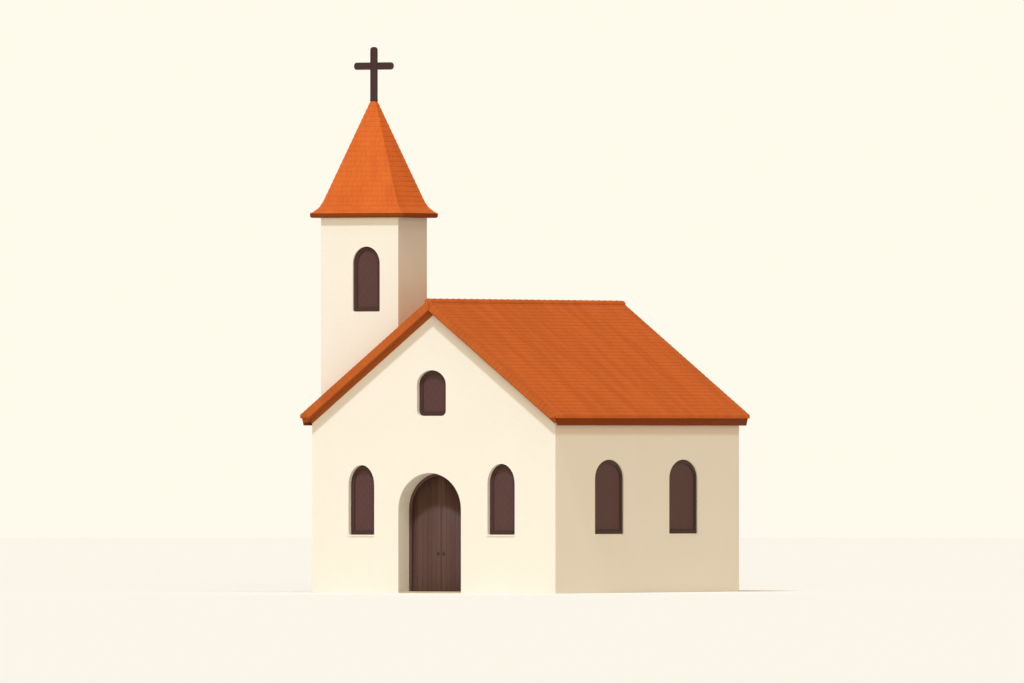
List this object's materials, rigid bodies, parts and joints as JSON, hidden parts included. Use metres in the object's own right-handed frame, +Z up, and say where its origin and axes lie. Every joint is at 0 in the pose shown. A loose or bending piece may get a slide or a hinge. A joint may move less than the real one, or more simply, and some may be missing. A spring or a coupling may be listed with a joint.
{
  "type": "church building",
  "caption": "Small plastered church: a gabled nave with a clay tile roof, an arched double door, arched windows and a bell tower with a bell-cast spire and cross.",
  "frame": {"origin": "centre of the nave's outer plan at ground level", "axes": "+Z up, the front gable with the door faces -Y, +X to the right seen from the front"},
  "size_m": [8.8415, 11.455, 16],
  "materials": {
    "plaster": "cream lime plaster, matt",
    "floor_stone": "sandstone slabs, worn",
    "roof_tile": "unglazed clay tile",
    "spire_tile": "unglazed clay tile",
    "eave_timber": "red-brown wood stain",
    "door_timber": "dark brown oiled oak",
    "window_joinery": "dark brown paint on timber frames",
    "window_glass": "brown tinted leaded glass",
    "cross_iron": "dark brown paint, satin"
  },
  "bodies": {
    "building": {"front_wall_left": "plaster", "front_wall_right": "plaster", "front_wall_over_door": "plaster", "front_gable": "plaster", "door_pier_left": "plaster", "door_pier_right": "plaster", "rear_wall": "plaster", "right_wall": "plaster", "left_wall": "plaster", "tower_front_wall": "plaster", "tower_rear_wall": "plaster", "tower_left_wall": "plaster", "tower_right_wall": "plaster", "floor_slab": "floor_stone", "door_threshold": "floor_stone", "roof_tiles_left": "roof_tile", "roof_tiles_right": "roof_tile", "ridge_caps": "roof_tile", "spire_front": "spire_tile", "spire_right": "spire_tile", "spire_rear": "spire_tile", "spire_left": "spire_tile", "roof_deck_left": "eave_timber", "roof_deck_right": "eave_timber", "ridge_beam": "eave_timber", "fascia_right": "eave_timber", "fascia_left_front": "eave_timber", "fascia_left_rear": "eave_timber", "gable_board_front_left": "eave_timber", "gable_board_front_right": "eave_timber", "gable_board_rear_left": "eave_timber", "gable_board_rear_right": "eave_timber", "spire_eave_frame": "eave_timber", "door_frame": "door_timber", "window_front_left": "window_joinery", "window_front_right": "window_joinery", "window_gable_front": "window_joinery", "window_rear_left": "window_joinery", "window_rear_right": "window_joinery", "window_gable_rear": "window_joinery", "window_right_front": "window_joinery", "window_right_rear": "window_joinery", "window_left_front": "window_joinery", "window_left_rear": "window_joinery", "window_tower_front": "window_joinery", "window_tower_rear": "window_joinery", "cross_post": "cross_iron", "cross_arm": "cross_iron"},
    "left_door": {"door_leaf_left": "door_timber"},
    "right_door": {"door_leaf_right": "door_timber"}
  },
  "joints": [
    {"name": "left_door_hinge", "type": "hinge", "parent": "building", "child": "left_door", "pos_m": [-1.094, -4.698, 0.4], "axis": [0, 0, 1], "range_deg": [0, 105]},
    {"name": "right_door_hinge", "type": "hinge", "parent": "building", "child": "right_door", "pos_m": [0.834, -4.698, 0.4], "axis": [0, 0, -1], "range_deg": [0, 105]}
  ]
}
